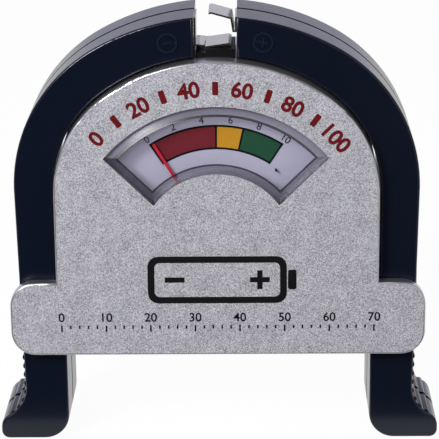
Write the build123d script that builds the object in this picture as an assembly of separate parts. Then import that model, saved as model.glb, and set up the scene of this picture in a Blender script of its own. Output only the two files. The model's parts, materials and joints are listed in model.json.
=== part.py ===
from build123d import *
from math import acos, asin, atan2, cos, degrees, radians, sin, sqrt
import os

# Hand-held battery tester with two sprung arms that clamp a cell between their tips.
# Millimetres. X to the right, Y to the back, Z up. The origin is on the floor, midway
# between the two feet and midway through the depth.

# ---- case: two silver half covers that meet at Y = 0 ----
case_half_depth = 14.0
cover_plate = 1.6
cover_wall = 1.6
arch_half_width = 36.0
arch_haunch_radius = 27.5
arch_haunch_z = 58.7
arch_crown = 2.8
band_reach = 6.6
band_bottom_z = 21.55
band_top_z = 38.65
band_corner_radius = 5.5
band_lip_wall = 1.4
cover_rim_fillet = 0.5
chamber_to_pivot = 10.5
chamber_step_z = 36.0

# ---- arms: a hollow band round the arch, as front and rear half shells that meet at Y = 0 ----
arm_setback = 3.2
arm_side_thick = 9.0
arm_haunch_thick = 8.9
arm_haunch_lift = 0.9
arm_crown = 2.2
arm_wall = 1.6
arm_to_case = 0.4
arm_to_plate = 0.3
tip_gap = 9.4
arm_rim_fillet = 0.55
parting_chamfer = 0.2
foot_half_width = 50.0
foot_spread = 5.9
flare_top_z = 12.5
flare_radius = 7.5
flare_angle = 64.0
foot_corner_radius = 1.8
heel_radius = 5.7
heel_to_pivot = 5.5
knee_low_z = 25.0
knee_high_z = 35.0
rib_top_z = 19.6
rib_pitch = 2.1
rib_count = 8
rib_radius = 0.8
rib_height = 0.4
rib_end_margin = 0.8
rib_parting_gap = 0.3

# ---- raised polarity marks ----
mark_x = 10.4
mark_drop = 5.7
mark_radius = 2.25
mark_line = 0.42
mark_bar = 2.2
mark_height = 0.2

# ---- pivots and return springs ----
pivot_inset = 4.2
pivot_z = 30.1
pin_radius = 1.75
pin_running_clearance = 0.05
pin_seat_clearance = 0.02
pin_socket_wall = 1.1
pin_pad_radius = 3.4
arm_boss_radius = 3.4
arm_boss_gap = 3.6
spring_coil_radius = 2.4
spring_wire = 0.7
spring_leg_wire = 0.64
spring_pitch = 0.95
spring_turns = 5.25
spring_arm_leg = 7.0
spring_case_leg = 8.6
spring_slot_bottom_z = 27.0
spring_slot_top_z = 35.4
spring_slot_half_depth = 3.4
spring_ledge_reach = 3.2
spring_ledge_thick = 1.6
spring_ledge_gap = 0.1

# ---- screws, shared proportions ----
screw_head_height = 1.2
screw_slot_depth = 0.6
screw_slot_length_share = 1.3
screw_slot_width_share = 0.3
screw_hole_floor = 1.0
screw_thread_clearance = 0.03
screw_shank_clearance = 0.1
screw_head_clearance = 0.15
case_screw_radius = 1.25
case_screw_head = 2.1
case_screw_length = 17.0
case_boss_radius = 2.6
case_screw_sink = 1.8
case_screw_low_inset = 2.8
case_screw_low_z = 27.0
case_screw_high_inset = 4.8
case_screw_high_z = 50.5
arm_screw_radius = 0.8
arm_screw_head = 1.5
arm_screw_length = 13.0
arm_screw_boss = 1.9
arm_boss_sink = 0.3
arm_screw_sink = 1.8
arm_column_screw_z = 50.0
arm_arch_screw_angle = 50.0
arm_foot_screw_inset = 6.6
arm_foot_screw_z = 8.6

# ---- contacts at the tips, with heights taken down from the top of the arms ----
contact_thick = 0.4
contact_width = 10.0
plus_plate_drop = 1.2
plus_fold_drop = 4.2
plus_fold_inset = 0.55
plus_rise_x = 3.3
plus_rise_drop = 1.7
plus_tip_x = -0.9
plus_tip_drop = 0.5
plus_lip = 0.5
minus_plate_drop = 1.3
minus_lip_x = -2.45
minus_lip_drop = 7.6
rivet_radius = 0.7
rivet_head = 1.05
rivet_head_height = 0.35
rivet_spacing = 5.2
rivet_drop = 3.3
rivet_clearance = 0.05
terminal_thick = 0.4
terminal_half_width = 4.0
terminal_bottom_drop = 7.5
terminal_top_drop = 2.2
lead_radius = 0.4
lead_end_gap = 0.1
arm_lead_inset = 0.7
arm_lead_bottom_z = 34.3

# ---- contact block between the tips, with heights taken from the crown of the case ----
block_front_setback = 4.9
block_depth = 13.0
block_nose_half_width = 4.3
block_rise = 1.7
block_left_rise = 0.9
block_left_x = -2.1
block_flange_half_width = 7.0
block_flange_bottom_drop = 5.6
block_flange_top_drop = 2.5
block_clearance = 0.1
lower_contact_width = 10.5
lower_contact_x = -1.8
lower_tongue_x = 2.8
lower_tongue_rise = 0.65
lower_tongue_lip = 0.5
lower_tongue_lift = 0.05
lower_tail_drop = 8.5

# ---- window and dial, laid out about the pointer's axis ----
dial_z = 46.8
window_outer_radius = 32.2
window_inner_radius = 17.0
window_side_angle = 45.5
window_apex_z = 43.0
lens_clearance = 0.1
lens_setback = 0.2
lens_bevel_width = 2.2
lens_bevel_depth = 0.9
lens_flange = 1.4
lens_flange_thick = 0.6
dial_setback = 4.3
dial_thick = 0.5
dial_outer_radius = 34.5
dial_inner_radius = 14.5
dial_side_angle = 56.0
dial_post_orbit = 25.0
dial_post_angle = 51.5
dial_post_radius = 1.6
dial_screw_radius = 0.7
dial_screw_head = 1.3
dial_screw_head_height = 0.5
dial_screw_length = 4.0
stop_pin_orbit = 21.4
stop_pin_angle = 38.0
stop_pin_radius = 0.25
stop_pin_length = 1.6

# ---- pointer and its moving coil ----
pointer_setback = 3.25
pointer_thick = 0.3
pointer_rest_angle = -31.0
pointer_tip = 26.8
pointer_half_width = 0.3
pointer_hub = 2.0
pointer_shoulder = 4.0
pointer_tail = 5.0
weight_radius = 0.9
weight_length = 1.4
staff_radius = 0.5
staff_point = 0.6
staff_end_play = 0.05
coil_half_width = 5.4
coil_front_y = -4.3
coil_back_y = 5.5
coil_band = 3.0
former_thick = 0.25
winding_thick = 0.55

# ---- meter movement ----
core_radius = 4.8
core_front_y = -3.4
core_back_y = 4.4
yoke_inner_radius = 6.9
yoke_outer_radius = 9.0
yoke_front_y = -3.6
frame_front_y = 6.9
frame_plate = 1.5
frame_half_width = 20.8
frame_bottom_z = 36.6
frame_top_z = 68.2
frame_corner_radius = 3.0
frame_room_lift = 4.0
frame_window_margin = 2.5
frame_collar_height = 3.2
frame_collar_wall = 1.6
frame_collar_gap = 0.05
frame_post_x = 17.0
frame_post_z = 42.0
frame_post_radius = 2.3
frame_screw_radius = 0.9
frame_screw_head = 1.7
frame_screw_length = 5.0
holder_half_width = 1.2
bridge_setback = 2.0
bridge_plate = 0.7
bridge_half_width = 12.0
bridge_height = 5.0
bridge_leg = 1.4
jewel_radius = 1.2
jewel_tip_length = 0.35
jewel_slot = 0.4
jewel_front_proud = 0.2
jewel_rear_proud = 0.4
hairspring_start = 1.0
hairspring_step = 0.7
hairspring_strip = 0.15
hairspring_height = 0.5
hairspring_half_turns = 7
hairspring_to_weights = 0.2

# ---- circuit ----
board_inset = 8.9
board_bottom_z = 24.3
board_top_z = 35.6
board_front_y = 3.0
board_thick = 1.6
board_post_inset = 3.0
board_post_radius = 2.0
board_screw_radius = 0.8
board_screw_head = 1.5
board_screw_length = 4.5
resistor_radius = 1.5
resistor_length = 8.0
resistor_lead_radius = 0.35
resistor_lead_span = 12.0
resistor_places = ((-7.0, 32.2), (-7.0, 27.4))
trimmer_to_post = 9.0
trimmer_size = 6.6
trimmer_height = 3.4
trimmer_dial_radius = 2.1
trimmer_dial_height = 0.6
trimmer_slot = 0.6
trimmer_slot_angle = 35.0
tag_thick = 0.4
tag_radius = 3.0
tag_tail_reach = 6.5
tag_tail_half_width = 0.9
case_lead_bend = 3.0
side_lead_z = 31.1
side_lead_overlap = 2.0
side_lead_end_inset = 0.6
lower_lead_to_cover = 1.8
lower_lead_end_z = 33.6

# ---- values that follow from those above ----
face_y = -case_half_depth
plate_back_y = face_y + cover_plate
arm_half_depth = case_half_depth - arm_setback
lip_back_y = -(arm_half_depth + arm_to_plate)
arch_top_z = arch_haunch_z + arch_haunch_radius + arch_crown
arm_half_width = arch_half_width + arm_side_thick
arm_haunch_radius = arch_haunch_radius + arm_haunch_thick
arm_haunch_z = arch_haunch_z + arm_haunch_lift
arm_top_z = arm_haunch_z + arm_haunch_radius + arm_crown
column_foot_x = foot_half_width - foot_spread
pivot_x = column_foot_x - pivot_inset
band_half_width = pivot_x + band_reach
chamber_half_width = pivot_x - chamber_to_pivot
heel_x = pivot_x - heel_to_pivot
arm_foot_screw = (heel_x + arm_foot_screw_inset, arm_foot_screw_z)
case_screw_low = (chamber_half_width - case_screw_low_inset, case_screw_low_z)
case_screw_high = (arch_half_width - case_screw_high_inset, case_screw_high_z)
spring_ledge_x = chamber_half_width + spring_ledge_reach
tag_tail_x = pivot_x - tag_tail_reach
rivet_z = arm_top_z - rivet_drop
block_top_z = arch_top_z + block_rise
block_left_top_z = arch_top_z + block_left_rise
block_flange_bottom_z = arch_top_z - block_flange_bottom_drop
block_flange_top_z = arch_top_z - block_flange_top_drop
dial_y = face_y + dial_setback
pointer_y = face_y + pointer_setback
block_front_y = face_y + block_front_setback
block_back_y = block_front_y + block_depth
block_middle_y = (block_front_y + block_back_y) / 2
bridge_y = face_y + bridge_setback
frame_back_y = frame_front_y + frame_plate
board_back_y = board_front_y + board_thick
board_half_width = chamber_half_width - board_inset
board_middle_z = (board_bottom_z + board_top_z) / 2
board_post_x = board_half_width - board_post_inset
trimmer_x = board_post_x - trimmer_to_post
tip_x = tip_gap / 2


# ---------------------------------------------------------------- shape helpers
def slab(sketch, y_front, y_back):
    """A flat outline drawn in X and Z, as a plate from y_front to y_back."""
    return extrude(Plane.XZ.offset(-y_back) * sketch, amount=y_back - y_front)


def rod(radius, x, z, y_front, y_back):
    return slab(Pos(x, z) * Circle(radius), y_front, y_back)


def tube(outer, inner, x, z, y_front, y_back):
    return slab(Pos(x, z) * (Circle(outer) - Circle(inner)), y_front, y_back)


def block(x, y, z):
    """A box from three (low, high) pairs."""
    sizes = [pair[1] - pair[0] for pair in (x, y, z)]
    middles = [(pair[1] + pair[0]) / 2 for pair in (x, y, z)]
    return Pos(*middles) * Box(*sizes)


def polar(radius, angle, z_centre=dial_z):
    """A point at an angle from straight up, positive to the right."""
    return (radius * sin(radians(angle)), z_centre + radius * cos(radians(angle)))


def left_of(part):
    """The left-hand twin of a right-hand piece."""
    return mirror(part, about=Plane.YZ)


def both_sides(part):
    return Compound(children=list(part.solids()) + list(left_of(part).solids()))


def screw(radius, head, length, slot=True, head_height=screw_head_height):
    """A pan-head screw along +Z: the shank goes down from Z = 0, the head stands on it."""
    body = Pos(0, 0, -length / 2) * Cylinder(radius, length)
    body += Pos(0, 0, head_height / 2) * Cylinder(head, head_height)
    if slot:
        groove = Box(screw_slot_length_share * head, screw_slot_width_share * head, 2 * screw_slot_depth)
        body -= Pos(0, 0, head_height) * (groove + Rot(0, 0, 90) * groove)
    return body


def to_back(part, x, y, z):
    """Turns a piece made along +Z to point to the back, with its origin at a point."""
    return Pos(x, y, z) * Rot(-90, 0, 0) * part


def to_front(part, x, y, z):
    return Pos(x, y, z) * Rot(90, 0, 0) * part


# ---------------------------------------------------------------- the arch shared by case and arms
class Arch:
    """A round top made of a wide middle arc and a tighter haunch on each side."""

    def __init__(self, half_width, haunch_radius, haunch_z, top_z):
        self.half_width = half_width
        self.haunch_radius = haunch_radius
        self.haunch_x = half_width - haunch_radius
        self.haunch_z = haunch_z
        rise = top_z - haunch_z
        crown = rise - haunch_radius
        self.top_radius = (self.haunch_x**2 + rise**2 - haunch_radius**2) / (2 * crown)
        self.top_centre_z = top_z - self.top_radius
        self.join = atan2(haunch_z - self.top_centre_z, self.haunch_x)

    def grown(self, by):
        top_z = self.top_centre_z + self.top_radius
        return Arch(self.half_width + by, self.haunch_radius + by, self.haunch_z, top_z + by)

    def top_at(self, x):
        return self.top_centre_z + sqrt(self.top_radius**2 - x**2)

    def on_top(self, angle):
        return (self.top_radius * cos(angle), self.top_centre_z + self.top_radius * sin(angle))

    def on_haunch(self, angle):
        return (
            self.haunch_x + self.haunch_radius * cos(angle),
            self.haunch_z + self.haunch_radius * sin(angle),
        )

    def arcs(self, start_x):
        """The two right-hand arcs, from start_x near the top down to the straight side."""
        start = acos(start_x / self.top_radius)
        middle = (start + self.join) / 2
        top = ThreePointArc(self.on_top(start), self.on_top(middle), self.on_top(self.join))
        haunch = ThreePointArc(self.on_top(self.join), self.on_haunch(self.join / 2), self.on_haunch(0))
        return [top, haunch]

    def face(self, bottom_z):
        top, haunch = self.arcs(0)
        side = Polyline(haunch @ 1, (self.half_width, bottom_z), (0, bottom_z), top @ 0)
        right = make_face([top, haunch, *side.edges()])
        return right + mirror(right, about=Plane.YZ)


case_arch = Arch(arch_half_width, arch_haunch_radius, arch_haunch_z, arch_top_z)
arm_inner_arch = case_arch.grown(arm_to_case)
arm_outer_arch = Arch(arm_half_width, arm_haunch_radius, arm_haunch_z, arm_top_z)
arm_lead_arch = arm_inner_arch.grown(arm_wall + arm_lead_inset)
knee_x = arm_inner_arch.half_width


# ---------------------------------------------------------------- case
def band_outline(inset=0.0):
    height = band_top_z - band_bottom_z - 2 * inset
    width = 2 * (band_half_width - inset)
    outline = RectangleRounded(width, height, band_corner_radius - inset)
    return Pos(0, (band_top_z + band_bottom_z) / 2) * outline


def case_outline():
    return case_arch.face(band_bottom_z + band_corner_radius) + band_outline()


def chamber_outline(inset=0.0):
    """The closed room behind the face: full arch width above, narrower between the feet."""
    upper = case_arch.grown(-inset).face(chamber_step_z + inset)
    low = band_bottom_z + inset
    high = chamber_step_z + 2 * inset
    lower = Pos(0, (low + high) / 2) * Rectangle(2 * (chamber_half_width - inset), high - low)
    return upper + lower


def chamber_walls(y_front, y_back):
    walls = slab(chamber_outline(), y_front, y_back)
    return walls - slab(chamber_outline(cover_wall), y_front, y_back)


def half_cover():
    """The front half of the case, still without its window, bosses and holes."""
    plate = slab(case_outline(), face_y, plate_back_y)
    lip = slab(band_outline(), face_y, lip_back_y)
    lip -= slab(band_outline(band_lip_wall), plate_back_y, lip_back_y)
    outside = plate + lip + slab(chamber_outline(), plate_back_y, 0)
    outside = fillet(outside.faces().sort_by(Axis.Y)[0].edges(), cover_rim_fillet)
    return outside - slab(chamber_outline(cover_wall), plate_back_y, 0)


def case_screw_points():
    return [(side * x, z) for x, z in (case_screw_low, case_screw_high) for side in (-1, 1)]


def block_notch():
    half = block_nose_half_width + block_clearance
    return block(
        (-half, half),
        (block_front_y - block_clearance, block_back_y + block_clearance),
        (block_flange_top_z, block_top_z),
    )


def window_outline(grow=0.0):
    """Two arcs about the dial's centre, closed by two slanted sides."""
    ring = Circle(window_outer_radius + grow) - Circle(window_inner_radius - grow)
    apex = window_apex_z - dial_z - grow / sin(radians(window_side_angle))
    reach = 2 * window_outer_radius
    side = reach * sin(radians(window_side_angle)), apex + reach * cos(radians(window_side_angle))
    wedge = make_face(Polyline((0, apex), side, (-side[0], side[1]), (0, apex)))
    return Pos(0, dial_z) * (ring & wedge)


def pin_holes(y_end):
    """The blind sockets for the two pivot pins, in one cover."""
    radius = pin_radius + pin_seat_clearance
    low, high = sorted((0, y_end))
    return rod(radius, pivot_x, pivot_z, low, high) + rod(radius, -pivot_x, pivot_z, low, high)


def front_cover():
    cover = half_cover()
    for side in (-1, 1):
        cover += rod(pin_pad_radius, side * pivot_x, pivot_z, plate_back_y, lip_back_y)
    for x, z in case_screw_points():
        cover += rod(case_boss_radius, x, z, plate_back_y, 0)
    for x, z in case_screw_points():
        pilot = case_screw_radius + screw_thread_clearance
        cover -= rod(pilot, x, z, plate_back_y + screw_hole_floor, 0)
    cover -= slab(window_outline(), face_y, plate_back_y)
    cover -= block_notch()
    cover -= pin_holes(face_y + pin_socket_wall)
    return cover


def rear_cover():
    cover = mirror(half_cover(), about=Plane.XZ)
    head_seat = case_half_depth - case_screw_sink - screw_head_height
    for side in (-1, 1):
        cover += rod(pin_pad_radius, side * pivot_x, pivot_z, -lip_back_y + tag_thick, -plate_back_y)
        ledge_low = pivot_z + spring_coil_radius + spring_wire / 2 + spring_ledge_gap
        ledge_x = sorted((side * (chamber_half_width - cover_wall / 2), side * spring_ledge_x))
        cover += block(ledge_x, (0, spring_slot_half_depth), (ledge_low, ledge_low + spring_ledge_thick))
        cover += rod(frame_post_radius, side * frame_post_x, frame_post_z, frame_back_y, -plate_back_y)
        cover += rod(board_post_radius, side * board_post_x, board_middle_z, board_back_y, -plate_back_y)
    for x, z in case_screw_points():
        cover += rod(case_boss_radius, x, z, 0, -plate_back_y)
    for x, z in case_screw_points():
        cover -= rod(case_screw_head + screw_head_clearance, x, z, head_seat, case_half_depth)
        cover -= rod(case_screw_radius + screw_shank_clearance, x, z, 0, head_seat)
    cover -= block_notch()
    cover -= pin_holes(case_half_depth - pin_socket_wall)
    for side in (-1, 1):
        pilot = frame_screw_radius + screw_thread_clearance
        cover -= rod(pilot, side * frame_post_x, frame_post_z, frame_back_y, -plate_back_y)
        pilot = board_screw_radius + screw_thread_clearance
        cover -= rod(pilot, side * board_post_x, board_middle_z, board_back_y, -plate_back_y)
        wall_x = sorted((side * (chamber_half_width - cover_wall), side * chamber_half_width))
        lead_slot = lead_radius + screw_head_clearance
        slot_z = (side_lead_z - lead_slot, side_lead_z + lead_slot)
        cover -= block(wall_x, (-lip_back_y, -plate_back_y), slot_z)
    return cover


def case_screws():
    head_seat = case_half_depth - case_screw_sink - screw_head_height
    one = screw(case_screw_radius, case_screw_head, case_screw_length)
    return Compound(children=[to_back(one, x, head_seat, z).solid() for x, z in case_screw_points()])


# ---------------------------------------------------------------- arms, drawn on the right
def flare_start():
    return (column_foot_x, flare_top_z)


def arm_side():
    return Line(arm_outer_arch.on_haunch(0), flare_start())


def arm_flare():
    side = arm_side()
    return JernArc(side @ 1, side % 1, flare_radius, flare_angle)


def arm_outline():
    """One arm from the front: arch, straight column, and a foot that flares outwards."""
    top, haunch = arm_outer_arch.arcs(tip_x)
    side = arm_side()
    flare = arm_flare()
    heading = flare % 1
    toe_radius = (foot_half_width - (flare @ 1).X) / (1 + heading.Y)
    toe = JernArc(flare @ 1, heading, toe_radius, -90 + degrees(-asin(heading.Y)))
    toe_side = Line(toe @ 1, (foot_half_width, foot_corner_radius))
    toe_corner = JernArc(toe_side @ 1, (0, -1), foot_corner_radius, -90)
    sole = Line(toe_corner @ 1, (heel_x + heel_radius, 0))
    heel = JernArc(sole @ 1, (-1, 0), heel_radius, -90)
    in_top, in_haunch = arm_inner_arch.arcs(tip_x)
    inside = Polyline(heel @ 1, (heel_x, knee_low_z), (knee_x, knee_high_z), in_haunch @ 1)
    end_face = Line(in_top @ 0, top @ 0)
    edges = [top, haunch, side, flare, toe, toe_side, toe_corner, sole, heel]
    return make_face(edges + list(inside.edges()) + [in_haunch, in_top, end_face])


def grip_ribs():
    """Round ribs across the outer side of the foot, down the column and round the flare."""
    side = arm_side()
    slope = (side @ 0 - side @ 1) * (1 / (side.length))
    start = side @ 1 + slope * ((rib_top_z - flare_top_z) / slope.Y)
    path = Wire([Line(start, side @ 1), *arm_flare().edges()])
    ribs = []
    for number in range(rib_count):
        at = number * rib_pitch / path.length
        along = path % at
        into = Vector(-along.Y, along.X) * -1
        centre = path @ at + into * (rib_radius - rib_height)
        ribs.append(Pos(centre.X, centre.Y) * Circle(rib_radius))
    return ribs


def arm_hollow():
    return offset(arm_outline(), amount=-arm_wall, kind=Kind.INTERSECTION)


def arm_screw_points():
    share_down = (arm_haunch_z - arm_column_screw_z) / (arm_haunch_z - flare_top_z)
    column_x = arm_side().position_at(share_down).X
    inset = arm_wall + arm_screw_boss - arm_boss_sink
    orbit = arm_haunch_radius - inset
    angle = radians(arm_arch_screw_angle)
    return [
        (column_x - inset, arm_column_screw_z),
        (arm_outer_arch.haunch_x + orbit * cos(angle), arm_haunch_z + orbit * sin(angle)),
        arm_foot_screw,
    ]


def rivet_points():
    return [(y, rivet_z) for y in (-rivet_spacing / 2, rivet_spacing / 2)]


def along_x(radius, y, z, x_low, x_high):
    return Pos((x_low + x_high) / 2, y, z) * Rot(0, 90, 0) * Cylinder(radius, x_high - x_low)


def half_arm():
    """The front half shell of the right arm, without its mark and screw holes."""
    shell = slab(arm_outline(), -arm_half_depth, 0)
    shell = fillet(shell.faces().sort_by(Axis.Y)[0].edges(), arm_rim_fillet)
    shell = chamfer(shell.faces().sort_by(Axis.Y)[-1].edges(), parting_chamfer)
    for rib in grip_ribs():
        shell += slab(rib, -arm_half_depth + rib_end_margin, -rib_parting_gap)
    shell -= slab(arm_hollow(), -arm_half_depth + arm_wall, 0)
    shell += rod(arm_boss_radius, pivot_x, pivot_z, -arm_half_depth + arm_wall / 2, -arm_boss_gap)
    for x, z in arm_screw_points():
        shell += rod(arm_screw_boss, x, z, -arm_half_depth + arm_wall / 2, 0)
    shell -= rod(pin_radius + pin_running_clearance, pivot_x, pivot_z, -arm_half_depth, 0)
    shell -= block(
        (min(heel_x, knee_x), max(heel_x, knee_x) + arm_wall),
        (-spring_slot_half_depth, 0),
        (spring_slot_bottom_z, spring_slot_top_z),
    )
    for y, z in rivet_points():
        shell -= along_x(rivet_radius + rivet_clearance, y, z, tip_x, tip_x + arm_wall)
    return shell


def polarity_mark(plus):
    ring = Circle(mark_radius) - Circle(mark_radius - mark_line)
    bar = Rectangle(mark_bar, mark_line)
    sign = ring + bar
    if plus:
        sign = sign + Rectangle(mark_line, mark_bar)
    tilt = -degrees(asin(mark_x / arm_outer_arch.top_radius))
    placed = Pos(mark_x, arm_top_z - mark_drop) * Rot(0, 0, tilt) * sign
    return slab(placed, -arm_half_depth - mark_height, -arm_half_depth + mark_height)


def front_shell(plus):
    shell = half_arm()
    for x, z in arm_screw_points():
        pilot = arm_screw_radius + screw_thread_clearance
        shell -= rod(pilot, x, z, -arm_half_depth + arm_wall + screw_hole_floor, 0)
    return shell + polarity_mark(plus)


def arm_head_seat():
    return arm_half_depth - arm_screw_sink - screw_head_height


def rear_shell():
    shell = mirror(half_arm(), about=Plane.XZ)
    for x, z in arm_screw_points():
        shell -= rod(arm_screw_head + screw_head_clearance, x, z, arm_head_seat(), arm_half_depth)
        shell -= rod(arm_screw_radius + screw_shank_clearance, x, z, 0, arm_head_seat())
    return shell


def arm_screws():
    one = screw(arm_screw_radius, arm_screw_head, arm_screw_length)
    placed = [to_back(one, x, arm_head_seat(), z).solid() for x, z in arm_screw_points()]
    return Compound(children=placed)


# ---------------------------------------------------------------- contacts
def strip(points, width, y_middle=0.0, side=Side.LEFT):
    """A bent strip: the points give one face, and the strip's thickness lies to one side."""
    face = Polyline(*points)
    other = offset(face, amount=contact_thick, side=side, closed=True, kind=Kind.INTERSECTION)
    return slab(make_face(other.edges()), y_middle - width / 2, y_middle + width / 2)


def plus_contact():
    """A plate on the right tip, folded back up into a springy tongue that reaches left."""
    fold_z = arm_top_z - plus_fold_drop - contact_thick
    tip_z = arm_top_z - plus_tip_drop
    points = [
        (tip_x, arm_top_z - plus_plate_drop),
        (tip_x, fold_z),
        (tip_x - plus_fold_inset - contact_thick, fold_z),
        (plus_rise_x, arm_top_z - plus_rise_drop),
        (plus_tip_x, tip_z),
        (plus_tip_x - plus_lip, tip_z - plus_lip / 4),
    ]
    return strip(points, contact_width, side=Side.RIGHT)


def minus_contact():
    """A plate on the left tip with a short foot bent towards the gap."""
    low_z = arm_top_z - minus_lip_drop
    points = [
        (-tip_x, arm_top_z - minus_plate_drop),
        (-tip_x, low_z),
        (minus_lip_x, low_z - contact_thick / 2),
    ]
    return strip(points, contact_width)


def contact_rivets():
    """Two rivets through the right tip's wall and its terminal plate."""
    back = tip_x + arm_wall + terminal_thick
    rivets = []
    for y, z in rivet_points():
        rivet = along_x(rivet_radius, y, z, tip_x, back)
        rivet += along_x(rivet_head, y, z, back, back + rivet_head_height)
        rivets.append(rivet.solid())
    return Compound(children=rivets)


def terminal():
    """The tinned plate behind the tip's wall, where the arm's lead is soldered."""
    low_x = tip_x + arm_wall
    width = (-terminal_half_width, terminal_half_width)
    height = (arm_top_z - terminal_bottom_drop, arm_top_z - terminal_top_drop)
    plate = block((low_x, low_x + terminal_thick), width, height)
    for y, z in rivet_points():
        plate -= along_x(rivet_radius + rivet_clearance, y, z, low_x, low_x + terminal_thick)
    return plate


def swept(path, radius):
    wire = path if isinstance(path, Wire) else Wire(path.edges())
    section = Plane(origin=wire @ 0, z_dir=wire % 0) * Circle(radius)
    return sweep(section, path=wire)


def arm_lead():
    """The lead inside the right arm, from the terminal along the inner wall to the pivot."""
    top, haunch = arm_lead_arch.arcs(tip_x + arm_wall + terminal_thick + lead_end_gap)
    run = Line(haunch @ 1, (arm_lead_arch.half_width, arm_lead_bottom_z))
    flat = Wire([*top.edges(), *haunch.edges(), *run.edges()])
    return swept(Plane.XZ * flat, lead_radius)


def block_body():
    top = Polyline(
        (-block_nose_half_width, block_flange_bottom_z),
        (block_nose_half_width, block_flange_bottom_z),
        (block_nose_half_width, block_top_z),
        (block_left_x, block_top_z),
        (block_left_x, block_left_top_z),
        (-block_nose_half_width, block_left_top_z),
        (-block_nose_half_width, block_flange_bottom_z),
    )
    body = slab(make_face(top), block_front_y, block_back_y)
    width = (-block_flange_half_width, block_flange_half_width)
    body += block(width, (block_front_y, block_back_y), (block_flange_bottom_z, block_flange_top_z))
    half = lower_contact_width / 2 + block_clearance
    slot_x = (lower_contact_x - contact_thick - block_clearance / 2, lower_contact_x + block_clearance / 2)
    slot_y = (block_middle_y - half, block_middle_y + half)
    return body - block(slot_x, slot_y, (block_flange_bottom_z, block_top_z))


def lower_contact():
    """A strip that comes up through the block and bends over it into a short tongue."""
    bend_z = block_top_z + lower_tongue_lift
    end = (lower_tongue_x, bend_z + lower_tongue_rise)
    points = [
        (lower_contact_x, arch_top_z - lower_tail_drop),
        (lower_contact_x, bend_z),
        end,
        (end[0] + lower_tongue_lip, end[1] - lower_tongue_lip / 2),
    ]
    return strip(points, lower_contact_width, block_middle_y)


# ---------------------------------------------------------------- pivots and springs
def pivot_pin():
    end = case_half_depth - pin_socket_wall
    return rod(pin_radius, pivot_x, pivot_z, -end, end)


def return_spring():
    """A torsion spring on the right pin: one leg on the foot's outer wall, one on the case."""
    height = spring_pitch * spring_turns
    start = Plane(origin=(pivot_x, -height / 2, pivot_z), x_dir=(1, 0, 0), z_dir=(0, 1, 0))
    coil_path = start * Helix(spring_pitch, height, spring_coil_radius, lefthand=True)
    wire = spring_wire / 2
    section = Plane(origin=coil_path @ 0, z_dir=coil_path % 0) * Circle(wire)
    coil = sweep(section, path=coil_path, is_frenet=True)
    low, high = coil_path @ 0, coil_path @ 1
    leg = spring_leg_wire / 2
    length = spring_arm_leg + wire
    arm_leg = Pos(low.X, low.Y, low.Z + wire - length / 2) * Cylinder(leg, length)
    case_leg = along_x(leg, high.Y, high.Z, high.X - spring_case_leg, high.X + wire)
    return coil + arm_leg + case_leg


def pin_tags():
    """Solder tags under the rear pads of the pivot pins."""
    low_y = -lip_back_y
    tag = tube(tag_radius, pin_radius + pin_seat_clearance, pivot_x, pivot_z, low_y, low_y + tag_thick)
    inner = pivot_x - (tag_radius + pin_radius) / 2
    half = tag_tail_half_width
    tag += block((tag_tail_x, inner), (low_y, low_y + tag_thick), (pivot_z - half, pivot_z + half))
    return both_sides(tag)


# ---------------------------------------------------------------- window and dial
def window_lens():
    front = face_y + lens_setback
    edge = window_outline(-lens_clearance)
    pane = window_outline(-lens_clearance - lens_bevel_width)
    bevel_back = front + lens_bevel_depth
    outlines = [Plane.XZ.offset(-bevel_back) * edge.face(), Plane.XZ.offset(-front) * pane.face()]
    bevel = loft(outlines, ruled=True)
    body = bevel + slab(edge, bevel_back, plate_back_y)
    return body + slab(window_outline(lens_flange), plate_back_y, plate_back_y + lens_flange_thick)


def dial_post_points():
    return [polar(dial_post_orbit, side * dial_post_angle) for side in (-1, 1)]


def dial_card():
    ring = Circle(dial_outer_radius) - Circle(dial_inner_radius)
    reach = 2 * dial_outer_radius
    corner = (reach * sin(radians(dial_side_angle)), reach * cos(radians(dial_side_angle)))
    wedge = make_face(Polyline((0, 0), corner, (0, reach), (-corner[0], corner[1]), (0, 0)))
    card = slab(Pos(0, dial_z) * (ring & wedge), dial_y, dial_y + dial_thick)
    for x, z in dial_post_points():
        card -= rod(dial_screw_radius + screw_thread_clearance, x, z, dial_y, dial_y + dial_thick)
    x, z = polar(stop_pin_orbit, stop_pin_angle)
    return card - rod(stop_pin_radius + pin_seat_clearance, x, z, dial_y, dial_y + dial_thick)


def dial_screws():
    one = screw(dial_screw_radius, dial_screw_head, dial_screw_length, False, dial_screw_head_height)
    return Compound(children=[to_front(one, x, dial_y, z).solid() for x, z in dial_post_points()])


def stop_pin():
    x, z = polar(stop_pin_orbit, stop_pin_angle)
    return rod(stop_pin_radius, x, z, dial_y + dial_thick - stop_pin_length, dial_y + dial_thick)


# ---------------------------------------------------------------- pointer, built upright, then turned
def at_rest(part):
    axis = Axis((0, 0, dial_z), (0, 1, 0))
    return part.rotate(axis, pointer_rest_angle)


def pointer():
    half = pointer_half_width
    base = pointer_hub / 2
    shoulder = pointer_hub + pointer_shoulder
    right_edge = [(2 * half, base), (half, shoulder), (half, pointer_tip)]
    left_edge = [(-x, z) for x, z in reversed(right_edge)]
    needle = make_face(Polyline(*right_edge, *left_edge, right_edge[0]))
    tail = Pos(0, -pointer_tail / 2) * Rectangle(4 * half, pointer_tail)
    cross = Pos(0, -pointer_hub / 2) * Rectangle(2 * pointer_tail, 4 * half)
    hole = Circle(staff_radius + pin_seat_clearance)
    flat = Pos(0, dial_z) * (needle + tail + cross + Circle(pointer_hub) - hole)
    return at_rest(slab(flat, pointer_y, pointer_y + pointer_thick))


def weight_places():
    arm = pointer_tail - weight_radius / 2
    return [(0, -arm - weight_radius / 2), (-arm, -pointer_hub / 2), (arm, -pointer_hub / 2)]


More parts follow.
